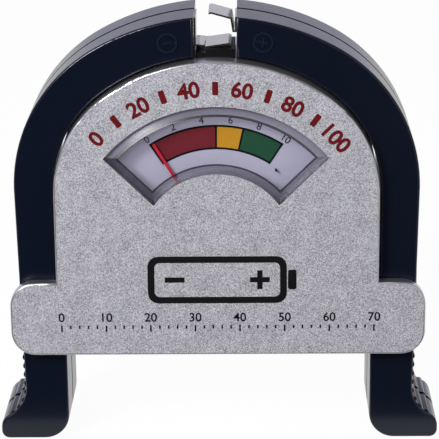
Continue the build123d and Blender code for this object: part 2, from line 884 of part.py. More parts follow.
def balance_weights():
    """Small turned weights on the pointer's tail and side arms, behind the pointer."""
    back = pointer_y + pointer_thick
    weights = [rod(weight_radius, x, dial_z + z, back, back + weight_length) for x, z in weight_places()]
    return Compound(children=[at_rest(weight).solid() for weight in weights])


def pointer_staff():
    """The front half staff, which carries the pointer, and the short rear one."""
    front = bridge_y + bridge_plate + jewel_tip_length + staff_end_play
    back = frame_front_y - jewel_tip_length - staff_end_play
    ends = []
    for tip_y, coil_y, turn in ((front, coil_front_y, to_front), (back, coil_back_y, to_back)):
        length = abs(tip_y - coil_y)
        straight = Pos(0, 0, (length - staff_point) / 2) * Cylinder(staff_radius, length - staff_point)
        cone = Pos(0, 0, length - staff_point / 2) * Cone(staff_radius, staff_radius / 4, staff_point)
        ends.append(turn(straight + cone, 0, coil_y, dial_z).solid())
    return Compound(children=ends)


def coil_loop(inner_grow, thick):
    """A rectangular loop round the core, seen from above, as a band along the axis' height."""
    half = coil_half_width + inner_grow
    front, back = coil_front_y + inner_front(inner_grow), coil_back_y - inner_front(inner_grow)
    outer = block((-half - thick, half + thick), (front - thick, back + thick), coil_z())
    return outer - block((-half, half), (front, back), coil_z())


def inner_front(grow):
    return former_thick + winding_thick - grow


def coil_z():
    return (dial_z - coil_band / 2, dial_z + coil_band / 2)


def coil_former():
    return at_rest(coil_loop(0, former_thick))


def moving_coil():
    return at_rest(coil_loop(former_thick, winding_thick))


# ---------------------------------------------------------------- meter movement
def yoke_ring():
    return tube(yoke_outer_radius, yoke_inner_radius, 0, dial_z, yoke_front_y, frame_front_y)


def core_magnet():
    return rod(core_radius, 0, dial_z, core_front_y, core_back_y)


def core_holder():
    """Two non-magnetic bars that hold the core inside the ring, above and below it."""
    gap = tube(yoke_inner_radius, core_radius, 0, dial_z, core_front_y, core_back_y)
    width = (-holder_half_width, holder_half_width)
    height = (dial_z - yoke_inner_radius, dial_z + yoke_inner_radius)
    bars = gap & block(width, (core_front_y, core_back_y), height)
    return Compound(children=list(bars.solids()))


def meter_frame():
    """A moulded plate that carries the ring, the dial's posts and the rear jewel."""
    middle_z = (frame_bottom_z + frame_top_z) / 2
    height = frame_top_z - frame_bottom_z
    plate = Pos(0, middle_z) * RectangleRounded(2 * frame_half_width, height, frame_corner_radius)
    room_width = 2 * (frame_half_width - frame_window_margin - 2 * dial_post_radius)
    room = Rectangle(room_width, height / 2 - frame_window_margin)
    room = Pos(0, middle_z + yoke_outer_radius + frame_room_lift) * room
    room = Pos(0, dial_z) * Circle(window_outer_radius) & room
    frame = slab(plate - room, frame_front_y, frame_back_y)
    for x, z in dial_post_points():
        frame += rod(dial_post_radius, x, z, dial_y + dial_thick, frame_front_y)
    collar_inner = yoke_outer_radius + frame_collar_gap
    collar_y = (frame_front_y - frame_collar_height, frame_front_y)
    frame += tube(yoke_outer_radius + frame_collar_wall, collar_inner, 0, dial_z, *collar_y)
    for x, z in dial_post_points():
        pilot = dial_screw_radius + screw_thread_clearance
        frame -= rod(pilot, x, z, dial_y + dial_thick, dial_y + dial_thick + dial_screw_length)
    for side in (-1, 1):
        hole = frame_screw_radius + screw_shank_clearance
        frame -= rod(hole, side * frame_post_x, frame_post_z, frame_front_y, frame_back_y)
        leg_x = side * (bridge_half_width - bridge_leg / 2)
        frame += block(
            (leg_x - bridge_leg, leg_x + bridge_leg),
            collar_y,
            (dial_z - bridge_height / 2, dial_z + bridge_height / 2),
        )
    frame -= rod(collar_inner, 0, dial_z, *collar_y)
    return frame - rod(jewel_radius + pin_seat_clearance, 0, dial_z, frame_front_y, frame_back_y)


def meter_screws():
    one = screw(frame_screw_radius, frame_screw_head, frame_screw_length)
    return both_sides(to_front(one, frame_post_x, frame_front_y, frame_post_z))


def front_bridge():
    """A bent metal strap over the front of the movement, with two legs on the frame."""
    height = (dial_z - bridge_height / 2, dial_z + bridge_height / 2)
    width = (-bridge_half_width, bridge_half_width)
    strap = block(width, (bridge_y, bridge_y + bridge_plate), height)
    for side in (-1, 1):
        leg = sorted((side * (bridge_half_width - bridge_leg), side * bridge_half_width))
        strap += block(leg, (bridge_y, frame_front_y - frame_collar_height), height)
    return strap - rod(jewel_radius + pin_seat_clearance, 0, dial_z, bridge_y, bridge_y + bridge_plate)


def jewel_screw(length):
    """A slotted screw with a hollow cone in its tip, which a staff's point turns in."""
    body = Pos(0, 0, -length / 2) * Cylinder(jewel_radius, length)
    cup_depth = jewel_tip_length + staff_point / 2
    cup = Pos(0, 0, -length + cup_depth / 2) * Cone(staff_radius, staff_radius / 3, cup_depth)
    return body - cup - Box(2 * jewel_radius, jewel_slot, jewel_slot)


def front_jewel():
    length = bridge_plate + jewel_tip_length
    return to_front(jewel_screw(length + jewel_front_proud), 0, bridge_y - jewel_front_proud, dial_z)


def rear_jewel():
    length = frame_plate + jewel_tip_length
    return to_back(jewel_screw(length + jewel_rear_proud), 0, frame_back_y + jewel_rear_proud, dial_z)


def front_hairspring():
    """A flat spiral of half circles, whose centres alternate so that each one grows."""
    inner, outer = [], []
    for number in range(hairspring_half_turns):
        up = number % 2 == 0
        centre = 0 if up else hairspring_step / 2
        radius = hairspring_start + number * hairspring_step / 2
        for edge, size in ((inner, radius), (outer, radius + hairspring_strip)):
            first, last = (centre + size, centre - size) if up else (centre - size, centre + size)
            middle = size if up else -size
            edge.append(ThreePointArc((first, 0), (centre, middle), (last, 0)))
    caps = [Line(inner[0] @ 0, outer[0] @ 0), Line(inner[-1] @ 1, outer[-1] @ 1)]
    flat = Pos(0, dial_z) * make_face(inner + outer + caps)
    front = pointer_y + pointer_thick + weight_length + hairspring_to_weights
    back = front + hairspring_height
    collet_radius = hairspring_start + hairspring_strip
    collet = tube(collet_radius, staff_radius + pin_seat_clearance, 0, dial_z, front, back)
    return slab(flat, front, back) + collet


# ---------------------------------------------------------------- circuit
def circuit_board():
    width = (-board_half_width, board_half_width)
    board = block(width, (board_front_y, board_back_y), (board_bottom_z, board_top_z))
    for side in (-1, 1):
        hole = board_screw_radius + screw_shank_clearance
        board -= rod(hole, side * board_post_x, board_middle_z, board_front_y, board_back_y)
    for x, z in resistor_places:
        for side in (-1, 1):
            hole = resistor_lead_radius + pin_seat_clearance
            board -= rod(hole, x + side * resistor_lead_span / 2, z, board_front_y, board_back_y)
    return board


def board_screws():
    one = screw(board_screw_radius, board_screw_head, board_screw_length)
    return both_sides(to_front(one, board_post_x, board_front_y, board_middle_z))


def load_resistors():
    """Two resistors that load the cell while it is measured, with bent leads."""
    parts = []
    y = board_front_y - resistor_radius
    for x, z in resistor_places:
        body = along_x(resistor_radius, y, z, x - resistor_length / 2, x + resistor_length / 2)
        half = resistor_lead_span / 2
        body += along_x(resistor_lead_radius, y, z, x - half, x + half)
        for side in (-1, 1):
            body += rod(resistor_lead_radius, x + side * half, z, y, board_back_y)
            body += Pos(x + side * half, y, z) * Sphere(resistor_lead_radius)
        parts.append(body.solid())
    return Compound(children=parts)


def trimmer():
    """The small preset that sets the meter's full scale."""
    half = trimmer_size / 2
    z = board_middle_z
    front = board_front_y - trimmer_height
    body = block((trimmer_x - half, trimmer_x + half), (front, board_front_y), (z - half, z + half))
    body += rod(trimmer_dial_radius, trimmer_x, z, front - trimmer_dial_height, front)
    slot = Box(2 * trimmer_dial_radius - trimmer_slot, trimmer_dial_height, trimmer_slot)
    turned = Pos(trimmer_x, front - trimmer_dial_height, z) * Rot(0, trimmer_slot_angle, 0)
    return body - turned * slot


def side_lead():
    """The lead from a pivot's solder tag to the board, drawn on the right."""
    y = -lip_back_y + tag_thick + lead_radius
    z = side_lead_z
    end_x = board_half_width - side_lead_end_inset
    points = [(tag_tail_x + side_lead_overlap, y, z), (end_x, y, z), (end_x, board_back_y, z)]
    return swept(FilletPolyline(*points, radius=case_lead_bend), lead_radius)


def lower_lead():
    """The lead from the lower contact's tail, down behind the meter to the board."""
    x = lower_contact_x - contact_thick - lead_radius
    tail_z = arch_top_z - lower_tail_drop + 2 * lead_radius
    back_y = -plate_back_y - lower_lead_to_cover
    points = [
        (x, block_middle_y, tail_z),
        (x, back_y, tail_z),
        (x, back_y, lower_lead_end_z),
        (x, board_back_y, lower_lead_end_z),
    ]
    return swept(FilletPolyline(*points, radius=[case_lead_bend, case_lead_bend]), lead_radius)


# ---------------------------------------------------------------- all nodes
nodes = {
    "front_cover": front_cover(),
    "rear_cover": rear_cover(),
    "case_screws": case_screws(),
    "window_lens": window_lens(),
    "dial_card": dial_card(),
    "dial_screws": dial_screws(),
    "stop_pin": stop_pin(),
    "meter_frame": meter_frame(),
    "meter_screws": meter_screws(),
    "yoke_ring": yoke_ring(),
    "core_magnet": core_magnet(),
    "core_holder": core_holder(),
    "front_bridge": front_bridge(),
    "front_jewel_screw": front_jewel(),
    "rear_jewel_screw": rear_jewel(),
    "front_hairspring": front_hairspring(),
    "circuit_board": circuit_board(),
    "board_screws": board_screws(),
    "load_resistors": load_resistors(),
    "trimmer": trimmer(),
    "pin_tags": pin_tags(),
    "contact_block": block_body(),
    "lower_contact": lower_contact(),
    "lower_contact_lead": lower_lead(),
    "right_case_lead": side_lead(),
    "left_case_lead": left_of(side_lead()),
    "right_pivot_pin": pivot_pin(),
    "left_pivot_pin": left_of(pivot_pin()),
    "right_return_spring": return_spring(),
    "left_return_spring": left_of(return_spring()),
    "right_front_shell": front_shell(plus=True),
    "left_front_shell": left_of(front_shell(plus=False)),
    "right_rear_shell": rear_shell(),
    "left_rear_shell": left_of(rear_shell()),
    "right_arm_screws": arm_screws(),
    "left_arm_screws": left_of(arm_screws()),
    "plus_contact": plus_contact(),
    "minus_contact": minus_contact(),
    "plus_rivets": contact_rivets(),
    "minus_rivets": left_of(contact_rivets()),
    "plus_terminal": terminal(),
    "minus_terminal": left_of(terminal()),
    "right_arm_lead": arm_lead(),
    "left_arm_lead": left_of(arm_lead()),
    "pointer": pointer(),
    "pointer_staff": pointer_staff(),
    "balance_weights": balance_weights(),
    "coil_former": coil_former(),
    "moving_coil": moving_coil(),
}

os.makedirs("parts", exist_ok=True)
for name, part in nodes.items():
    export_step(part, f"parts/{name}.step")
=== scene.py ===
import json
from math import atan2, ceil, cos, degrees, radians, sin, sqrt

import bmesh
import bpy
from mathutils import Matrix, Vector

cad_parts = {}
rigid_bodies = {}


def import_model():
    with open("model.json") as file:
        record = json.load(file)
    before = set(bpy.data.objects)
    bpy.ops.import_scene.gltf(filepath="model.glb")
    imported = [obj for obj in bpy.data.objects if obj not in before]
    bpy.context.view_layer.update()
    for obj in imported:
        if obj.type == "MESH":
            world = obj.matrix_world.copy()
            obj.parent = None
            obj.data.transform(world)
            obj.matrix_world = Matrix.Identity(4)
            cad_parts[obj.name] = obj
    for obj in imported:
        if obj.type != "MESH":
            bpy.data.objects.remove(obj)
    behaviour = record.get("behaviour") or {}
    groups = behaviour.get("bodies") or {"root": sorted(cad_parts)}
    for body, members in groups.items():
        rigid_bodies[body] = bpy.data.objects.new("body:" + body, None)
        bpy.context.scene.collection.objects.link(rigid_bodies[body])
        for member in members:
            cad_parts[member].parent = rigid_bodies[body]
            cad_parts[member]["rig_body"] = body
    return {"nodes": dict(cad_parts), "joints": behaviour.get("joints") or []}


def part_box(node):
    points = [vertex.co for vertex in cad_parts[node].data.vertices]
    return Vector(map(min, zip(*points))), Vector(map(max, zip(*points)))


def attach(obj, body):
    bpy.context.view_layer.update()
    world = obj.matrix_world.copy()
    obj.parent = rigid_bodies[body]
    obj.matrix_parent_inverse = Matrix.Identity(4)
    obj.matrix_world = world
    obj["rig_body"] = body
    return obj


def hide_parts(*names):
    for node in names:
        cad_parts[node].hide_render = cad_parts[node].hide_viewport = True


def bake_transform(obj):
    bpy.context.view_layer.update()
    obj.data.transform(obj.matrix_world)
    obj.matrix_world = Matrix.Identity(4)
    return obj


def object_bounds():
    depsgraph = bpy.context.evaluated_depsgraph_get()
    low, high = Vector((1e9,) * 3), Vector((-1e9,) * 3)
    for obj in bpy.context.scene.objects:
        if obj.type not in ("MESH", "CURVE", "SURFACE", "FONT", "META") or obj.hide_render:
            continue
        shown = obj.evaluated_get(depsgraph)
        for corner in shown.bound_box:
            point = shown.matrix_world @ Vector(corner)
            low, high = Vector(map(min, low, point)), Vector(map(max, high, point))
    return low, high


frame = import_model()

# The tester stands on its two feet and faces the front (-Y). The file's sizes are in
# millimetres, turned to metres with MM as each mesh is made.
MM = 0.001
cad_low, cad_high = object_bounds()


# ---- Silver covers -------------------------------------------------------------------------
# Two half shells moulded in ABS and sprayed with a silver texture paint, whose sandy grain
# catches the light in specks. They carry everything else, and are screwed from the rear.

def colour(code):
    """A hex sRGB colour as the linear values that a shader takes."""
    parts = [int(code[at:at + 2], 16) / 255 for at in (0, 2, 4)]
    linear = [part / 12.92 if part <= 0.04045 else ((part + 0.055) / 1.055) ** 2.4
              for part in parts]
    return [*linear, 1.0]


def add(tree, kind, settings=None, links=None):
    """Adds one shader node, sets its inputs and options, and links sockets into it."""
    made = tree.nodes.new("ShaderNode" + kind)
    for key, value in (settings or {}).items():
        if isinstance(key, str) and hasattr(made, key):
            setattr(made, key, value)
        else:
            made.inputs[key].default_value = value
    for key, source in (links or {}).items():
        tree.links.new(source, made.inputs[key])
    return made


def material(name, code, rough, grain, mottle, bump, depth=0.02, **shader_settings):
    """A finish whose colour, gloss and relief vary with a grain. Grain and depth are in mm, and
    mottle is how far the colour strays to each side. Its clouds are 15 grains across."""
    made = bpy.data.materials.new(name)
    made.use_nodes = True
    tree = made.node_tree
    tree.nodes.clear()
    place = add(tree, "TexCoord").outputs["Object"]
    speck = add(tree, "TexNoise", {"Scale": 1 / (grain * MM), "Detail": 2.0}, {"Vector": place})
    cloud = add(tree, "TexNoise", {"Scale": 1 / (15 * grain * MM), "Detail": 3.0},
                {"Vector": place})
    blend = add(tree, "Mix", {"Factor": 0.15},
                {"A": speck.outputs["Fac"], "B": cloud.outputs["Fac"]})
    tint = add(tree, "ValToRGB", links={"Fac": blend.outputs["Result"]})
    base = colour(code)[:3]
    for stop, at, share in zip(tint.color_ramp.elements, (0.32, 0.68), (1 - mottle, 1 + mottle)):
        stop.position = at
        stop.color = [*(min(1.0, part * share) for part in base), 1.0]
    gloss = add(tree, "MapRange", {"To Min": 0.88 * rough, "To Max": 1.12 * rough},
                {"Value": cloud.outputs["Fac"]})
    relief = add(tree, "Bump", {"Strength": bump, "Distance": depth * MM},
                 {"Height": speck.outputs["Fac"]})
    sockets = {key.replace("_", " "): value for key, value in shader_settings.items()}
    shader = add(tree, "BsdfPrincipled", sockets, {
        "Base Color": tint.outputs["Color"],
        "Roughness": gloss.outputs["Result"],
        "Normal": relief.outputs["Normal"],
    })
    add(tree, "OutputMaterial", links={"Surface": shader.outputs["BSDF"]})
    return made


def finish(name, shape, body, paint, stands_for=(), crease=30, other_paints=()):
    """Turns a finished bmesh into a piece that rides on its body, if it has just one."""
    data = bpy.data.meshes.new(name)
    shape.to_mesh(data)
    shape.free()
    data.shade_smooth()
    data.set_sharp_from_angle(angle=radians(crease))
    for each in (paint, *other_paints):
        data.materials.append(each)
    piece = bpy.data.objects.new(name, data)
    bpy.context.collection.objects.link(piece)
    if body:
        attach(piece, body)
    if stands_for:
        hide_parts(*stands_for)
    return piece


def dress(node, paint, others=(), cuts=(), rides=True):
    """A CAD node of the right shape: its triangles are welded, cut across the depth where asked,
    given any other paints by a test on each face, and shaded smoothly."""
    shape = bmesh.new()
    shape.from_mesh(frame["nodes"][node].data)
    bmesh.ops.remove_doubles(shape, verts=shape.verts, dist=0.0005 * MM)
    bmesh.ops.dissolve_degenerate(shape, edges=shape.edges, dist=0.001 * MM)
    # The triangles of a flat face become one face, so that its shading stays even.
    bmesh.ops.dissolve_limit(shape, verts=shape.verts, edges=shape.edges,
                             angle_limit=radians(0.5))
    for cut in cuts:
        bmesh.ops.bisect_plane(shape, geom=shape.verts[:] + shape.edges[:] + shape.faces[:],
                               plane_co=(0, cut * MM, 0), plane_no=(0, 1, 0))
    for number, (_, chosen) in enumerate(others, start=1):
        for face in shape.faces:
            if chosen(face):
                face.material_index = number
    body = frame["nodes"][node]["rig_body"] if rides else None
    piece = finish(node + "_finished", shape, body, paint, (node,),
                   other_paints=[other for other, _ in others])
    flats = piece.modifiers.new("flat faces stay flat", "WEIGHTED_NORMAL")
    flats.keep_sharp = True
    return piece


# Metal flake in the paint makes it part metallic, and rough enough to show no clear image. The
# grain is drawn a little coarser than real grit, so that it shows.
silver_paint = material("silver texture paint", "AAA9B1", 0.48, 0.24, 0.6, 1.0, depth=0.12,
                        Metallic=0.25)
# The sides and the rounded edges have no texture. They mirror the dark arms next to them, and
# the edge shows as a bright line.
smooth_silver = material("silver paint, smooth sides", "C4C3C9", 0.32, 0.4, 0.05, 0.1,
                         Metallic=0.95)
faces_front = 0.98


def is_side(face):
    """Whether a face of a cover is on its side or its rounded edge."""
    return abs(face.normal.y) < faces_front


dress("front_cover", silver_paint, others=((smooth_silver, is_side),))
dress("rear_cover", silver_paint, others=((smooth_silver, is_side),))


# ---- Window ---------------------------------------------------------------------------------
# One clear acrylic moulding behind the front cover: a flat pane, a sloping rim all round it, and
# a flange that the cover holds. The rim's smoky grey is painted shade for the dark walls seen
# through it.

pointer_turn = {joint["name"]: joint for joint in frame["joints"]}["pointer_turn"]
dial_axis = Vector(pointer_turn["pos_m"]) / MM
lens_low, lens_high = (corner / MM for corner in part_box("window_lens"))
window_outer_radius = 32.2
window_inner_radius = 17.0
window_side_angle = radians(45.5)
window_apex_drop = 3.8
outer_steps = 64
inner_steps = 40
lens_clearance = 0.1
lens_rim_width = 2.2
lens_rim_depth = 0.9
lens_bend_width = 0.5
lens_flange_width = 1.4
lens_flange_thick = 0.6
lens_crease = 12


def about_dial(radius, angle, y):
    """A point at a radius and an angle from straight up, positive to the right, in metres."""
    across, up = radius * sin(angle), radius * cos(angle)
    return Vector((dial_axis.x + across, y, dial_axis.z + up)) * MM


def side_meets(radius, grow):
    """The angle at which the window's slanted side, moved out by grow, meets a radius."""
    apex = -window_apex_drop - grow / sin(window_side_angle)
    reach = sqrt(radius**2 - (apex * sin(window_side_angle)) ** 2) - apex * cos(window_side_angle)
    return atan2(reach * sin(window_side_angle), apex + reach * cos(window_side_angle))


def window_outline(grow, y):
    """The points of the window's outline, moved out by grow: over the top, then back below."""
    outer, inner = window_outer_radius + grow, window_inner_radius - grow
    wide, narrow = side_meets(outer, grow), side_meets(inner, grow)
    return [
        *(about_dial(outer, wide * (2 * step / outer_steps - 1), y)
          for step in range(outer_steps + 1)),
        *(about_dial(inner, narrow * (1 - 2 * step / inner_steps), y)
          for step in range(inner_steps + 1)),
    ]


# Clear acrylic takes no colour of its own. The slope is painted smoky grey as painted shade, with
# a paler copy along the top as painted light and a darker copy on the left as painted shadow.
# Where it meets the pane, the tight bend is painted dark, as a line of painted shade.
clear_acrylic = material("clear acrylic", "101014", 0.06, 6.0, 0.02, 0.02, Alpha=0.06, IOR=1.49)
slope_acrylic = material("clear acrylic, slope", "504E5A", 0.2, 3.0, 0.1, 0.05,
                         Alpha=0.62, IOR=1.49)
painted_light_slope = material("clear acrylic, slope with painted light", "7C7A88", 0.2, 3.0, 0.1, 0.05,
                              Alpha=0.5, IOR=1.49)
painted_shadow_slope = material("clear acrylic, slope with painted shadow", "2E2D36", 0.2, 3.0, 0.1, 0.05,
                              Alpha=0.68, IOR=1.49)
painted_shade_bend = material("clear acrylic, bend with painted shade", "1C1C22", 0.3, 3.0, 0.1, 0.05,
                        Alpha=0.85, IOR=1.49)
# The numbers of those finishes on the lens, in the order in which it gets them.
as_clear, as_slope, as_bend, as_painted_light_slope, as_painted_shadow_slope = range(5)

flange_front = lens_high.y - lens_flange_thick
slope_back = lens_low.y + lens_rim_depth
bend_front = lens_low.y + lens_bend_width / 2
lens = bmesh.new()
# Rings of as many points each, joined one by one, because bridging twists on this curved shape.
rings = [
    [lens.verts.new(point) for point in window_outline(grow, y)]
    for grow, y in (
        (lens_flange_width, lens_high.y),
        (lens_flange_width, flange_front),
        (-lens_clearance, flange_front),
        (-lens_clearance, slope_back),
        (lens_bend_width - lens_clearance - lens_rim_width, bend_front),
        (-lens_clearance - lens_rim_width, lens_low.y),
    )
]
for ring in (rings[0], rings[-1]):
    lens.faces.new(ring)
bands = (as_clear, as_clear, as_slope, as_slope, as_bend)
for number, ring, next_ring in zip(bands, rings, rings[1:]):
    for at in range(len(ring)):
        side = lens.faces.new((ring[at - 1], ring[at], next_ring[at], next_ring[at - 1]))
        side.material_index = number
        # The slope's left end gets the copy with painted shadow, and its top arc the copy with
        # painted light.
        if number == as_slope and at == 0:
            side.material_index = as_painted_shadow_slope
        elif number == as_slope and at <= outer_steps:
            side.material_index = as_painted_light_slope
bmesh.ops.recalc_face_normals(lens, faces=lens.faces)
finish("window_moulding", lens, "case", clear_acrylic, ("window_lens",),
       crease=lens_crease,
       other_paints=(slope_acrylic, painted_shade_bend, painted_light_slope, painted_shadow_slope))


# ---- Prints on the front cover ---------------------------------------------------------------
# Pad-printed inks, a few hundredths thick: a bold scale from 0 to 100 above the window, a plain
# picture of a round cell below it, and a ruler for cells on the low band.

ink_thick = 0.03
print_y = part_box("front_cover")[0].y / MM - ink_thick


def thicken(shape):
    """Gives flat ink its thickness, towards the surface that it is printed on."""
    front = bmesh.ops.extrude_face_region(shape, geom=shape.faces[:])["geom"]
    moved = [item for item in front if isinstance(item, bmesh.types.BMVert)]
    bmesh.ops.translate(shape, verts=moved, vec=(0, ink_thick * MM, 0))
    bmesh.ops.recalc_face_normals(shape, faces=shape.faces)


def join(shape, other):
    """Adds another bmesh to a shape."""
    data = bpy.data.meshes.new("joined")
    other.to_mesh(data)
    other.free()
    shape.from_mesh(data)


def face_front(shape, turn):
    """Stands a flat shape up to face the front, turned clockwise."""
    bmesh.ops.rotate(shape, verts=shape.verts, matrix=Matrix.Rotation(radians(90), 3, "X"))
    bmesh.ops.rotate(shape, verts=shape.verts, matrix=Matrix.Rotation(turn, 3, "Y"))


def figures(shape, text, cap, turn, centre, weight=0.0):
    """Adds plain figures of a cap height in mm, turned clockwise and centred on a point."""
    curve = bpy.data.curves.new("figures", "FONT")
    curve.body = text
    curve.align_x = "CENTER"
    curve.offset = weight
    carrier = bpy.data.objects.new("figures", curve)
    glyphs = bmesh.new()
    glyphs.from_mesh(bpy.data.meshes.new_from_object(carrier))
    heights = [vert.co.y for vert in glyphs.verts]
    low, high = min(heights), max(heights)
    growth = cap * MM / (high - low)
    bmesh.ops.translate(glyphs, verts=glyphs.verts, vec=(0, -(high + low) / 2, 0))
    bmesh.ops.scale(glyphs, verts=glyphs.verts, vec=(growth, growth, growth))
    face_front(glyphs, turn)
    bmesh.ops.translate(glyphs, verts=glyphs.verts, vec=centre)
    thicken(glyphs)
    join(shape, glyphs)


arc_step = 1.5


def sector(inner, outer, start, end, y):
    """A printed piece of a ring about the dial's axis, between two angles in degrees."""
    shape = bmesh.new()
    ends = [shape.verts.new(about_dial(radius, radians(start), y)) for radius in (inner, outer)]
    edge = shape.edges.new(ends)
    steps = max(1, ceil((end - start) / arc_step))
    bmesh.ops.spin(shape, geom=[*ends, edge], cent=about_dial(0, 0, y), axis=(0, 1, 0),
                   angle=radians(end - start), steps=steps)
    thicken(shape)
    return shape


def bar(width, height, centre, corner=0.0, turn=0.0):
    """A flat bar with rounded corners, where the cover's prints lie."""
    shape = bmesh.new()
    bmesh.ops.create_grid(shape, x_segments=1, y_segments=1, size=0.5 * MM)
    bmesh.ops.scale(shape, verts=shape.verts, vec=(width, height, 1))
    face_front(shape, turn)
    if corner:
        bmesh.ops.bevel(shape, geom=shape.verts[:], offset=corner * MM, segments=6,
                        profile=0.5, affect="VERTICES", material=-1)
    place = Vector((centre[0], print_y, centre[1])) * MM
    bmesh.ops.translate(shape, verts=shape.verts, vec=place)
    return shape


# Pad-printing ink dries matt and slightly uneven, so it shows hardly any reflection.
maroon_ink = material("maroon pad-printing ink", "5C070E", 0.6, 0.3, 0.2, 0.3, depth=0.03,
                      Specular_IOR_Level=0.15)
black_ink = material("black pad-printing ink", "0C0B0E", 0.6, 0.3, 0.2, 0.3, depth=0.03,
                     Specular_IOR_Level=0.15)

scale_radius, scale_cap, scale_weight = 36.3, 3.7, 0.03
scale_half_angle = 46.0
scale_marks = 10
dash_width, dash_height, dash_corner = 1.3, 3.0, 0.3
cover_scale = bmesh.new()
for mark in range(scale_marks + 1):
    angle = radians(scale_half_angle * (2 * mark / scale_marks - 1))
    centre = about_dial(scale_radius, angle, print_y)
    if mark % 2 == 0:
        figures(cover_scale, str(10 * mark), scale_cap, angle, centre, scale_weight)
    else:
        dash = bar(dash_width, dash_height, (centre.x / MM, centre.z / MM), dash_corner, angle)
        thicken(dash)
        join(cover_scale, dash)
finish("cover_scale", cover_scale, "case", maroon_ink)

cell_width, cell_height, cell_line = 31.0, 11.0, 1.5
cell_corner, cell_inner_corner = 2.4, 1.2
cell_x, cell_z = 0.0, (window_apex_drop + dial_axis.z) - 11.2
nipple_width, nipple_height, nipple_corner = 1.9, 4.6, 0.5
nipple_x = cell_x + cell_width / 2 + 1.2
sign_length, sign_line, sign_offset = 4.4, 1.2, 9.5
plus_arm, plus_arm_offset = 1.6, 1.4
cell = bar(cell_width, cell_height, (cell_x, cell_z), cell_corner)
join(cell, bar(cell_width - 2 * cell_line, cell_height - 2 * cell_line, (cell_x, cell_z),
               cell_inner_corner))
bmesh.ops.delete(cell, geom=cell.faces[:], context="FACES_ONLY")
bmesh.ops.bridge_loops(cell, edges=cell.edges)
for stroke in (
    bar(nipple_width, nipple_height, (nipple_x, cell_z), nipple_corner),
    bar(sign_length, sign_line, (cell_x - sign_offset, cell_z)),
    bar(sign_length, sign_line, (cell_x + sign_offset, cell_z)),
    bar(sign_line, plus_arm, (cell_x + sign_offset, cell_z + plus_arm_offset)),
    bar(sign_line, plus_arm, (cell_x + sign_offset, cell_z - plus_arm_offset)),
):
    join(cell, stroke)
thicken(cell)
finish("cover_cell_picture", cell, "case", black_ink)

ruler_length, ruler_step, ruler_tick_step = 70, 10, 2
ruler_z, ruler_cap, ruler_weight = 30.6, 2.1, 0.014
tick_width, long_tick, short_tick, tick_drop = 0.36, 1.5, 0.8, 1.9
ruler = bmesh.new()
for reading in range(0, ruler_length + 1, ruler_tick_step):
    whole = reading % ruler_step == 0
    height = long_tick if whole else short_tick
    x = reading - ruler_length / 2
    tick = bar(tick_width, height, (x, ruler_z - tick_drop - height / 2))
    thicken(tick)
    join(ruler, tick)
    if whole:
        centre = Vector((x, print_y, ruler_z)) * MM
        figures(ruler, str(reading), ruler_cap, 0.0, centre, ruler_weight)
finish("band_ruler", ruler, "case", black_ink)


# ---- Dial ------------------------------------------------------------------------------------
# A lavender-white card, screen-printed with three zones in black outlines and a row of small
# figures. A steel stop pin stands in it, and two screws hold it to the meter's frame.

zone_inner, zone_outer = 21.8, 26.9
zone_ends = (-32.7, 0.0, 13.0, 32.7)
zone_start, zone_end = zone_ends[0], zone_ends[-1]
zone_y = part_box("dial_card")[0].y / MM - ink_thick
outline, outline_y = 0.45, zone_y - ink_thick
# A coated card is matt and even, with next to no grain.
card_print = material("matt coated card", "B3B0C8", 0.6, 0.3, 0.03, 0.1)
dress("dial_card", card_print)
# Screen ink lies thick and flat, with a dull shine.
zone_inks = (("red", "701B28"), ("yellow", "C48D21"), ("green", "1E4E38"))
for (name, code), start, end in zip(zone_inks, zone_ends, zone_ends[1:]):
    ink = material(name + " screen ink", code, 0.5, 0.3, 0.06, 0.1, Specular_IOR_Level=0.3)
    zone = sector(zone_inner, zone_outer, start, end, zone_y)
    finish("zone_" + name, zone, "case", ink)

dial_lines = bmesh.new()
over = degrees(outline / zone_outer) / 2
for radius in (zone_inner, zone_outer):
    join(dial_lines, sector(radius - outline / 2, radius + outline / 2,
                            zone_start - over, zone_end + over, outline_y))
for angle in zone_ends:
    join(dial_lines, sector(zone_inner, zone_outer, angle - over, angle + over, outline_y))
figures_radius, figures_cap = 28.35, 1.6
full_reading, reading_step = 10, 2
for reading in range(0, full_reading + 1, reading_step):
    angle = radians(zone_start + (zone_end - zone_start) * reading / full_reading)
    centre = about_dial(figures_radius, angle, outline_y)
    figures(dial_lines, str(reading), figures_cap, angle, centre)
finish("dial_lines_and_figures", dial_lines, "case", black_ink)

# Ground steel is bright with soft reflections, and blued steel is nearly black.
steel = material("polished steel", "B9B8B6", 0.25, 0.4, 0.06, 0.1, Metallic=1.0)
blued_steel = material("blued steel", "26262C", 0.3, 0.4, 0.1, 0.1, Metallic=0.8)
dress("stop_pin", blued_steel)
# The card's screws are lacquered in its own colour, so that they hardly show.
white_lacquer = material("screw heads lacquered white", "B8B5CA", 0.4, 0.4, 0.05, 0.1)
dress("dial_screws", white_lacquer)


# ---- Pointer and moving coil -----------------------------------------------------------------
# A thin stamped pointer in red enamel on a steel staff, with brass balance weights, an aluminium
# former and a winding of fine enamelled copper wire.

# Enamel is smooth and shiny, and brass and aluminium have a fine satin. The winding's lacquered
# turns are drawn as a coarse grain, so that they glint brown.
pointer_enamel = material("red enamel", "C01E38", 0.35, 0.3, 0.05, 0.05)
brass = material("turned brass", "B08D4A", 0.28, 0.3, 0.08, 0.1, Metallic=1.0)
aluminium = material("aluminium sheet", "B4B6B8", 0.32, 0.4, 0.06, 0.1, Metallic=1.0)
copper_winding = material("enamelled copper winding", "8A4524", 0.35, 0.15, 0.25, 0.6,
                          depth=0.05, Metallic=0.8)
dress("pointer", pointer_enamel)
dress("pointer_staff", steel)
dress("balance_weights", brass)
dress("coil_former", aluminium)
dress("moving_coil", copper_winding)


# ---- Meter movement --------------------------------------------------------------------------
# A black moulded frame holds a soft-iron ring round a magnet. The coil turns in the gap between
# them, on jewel screws, with a bronze hairspring that brings the pointer back.

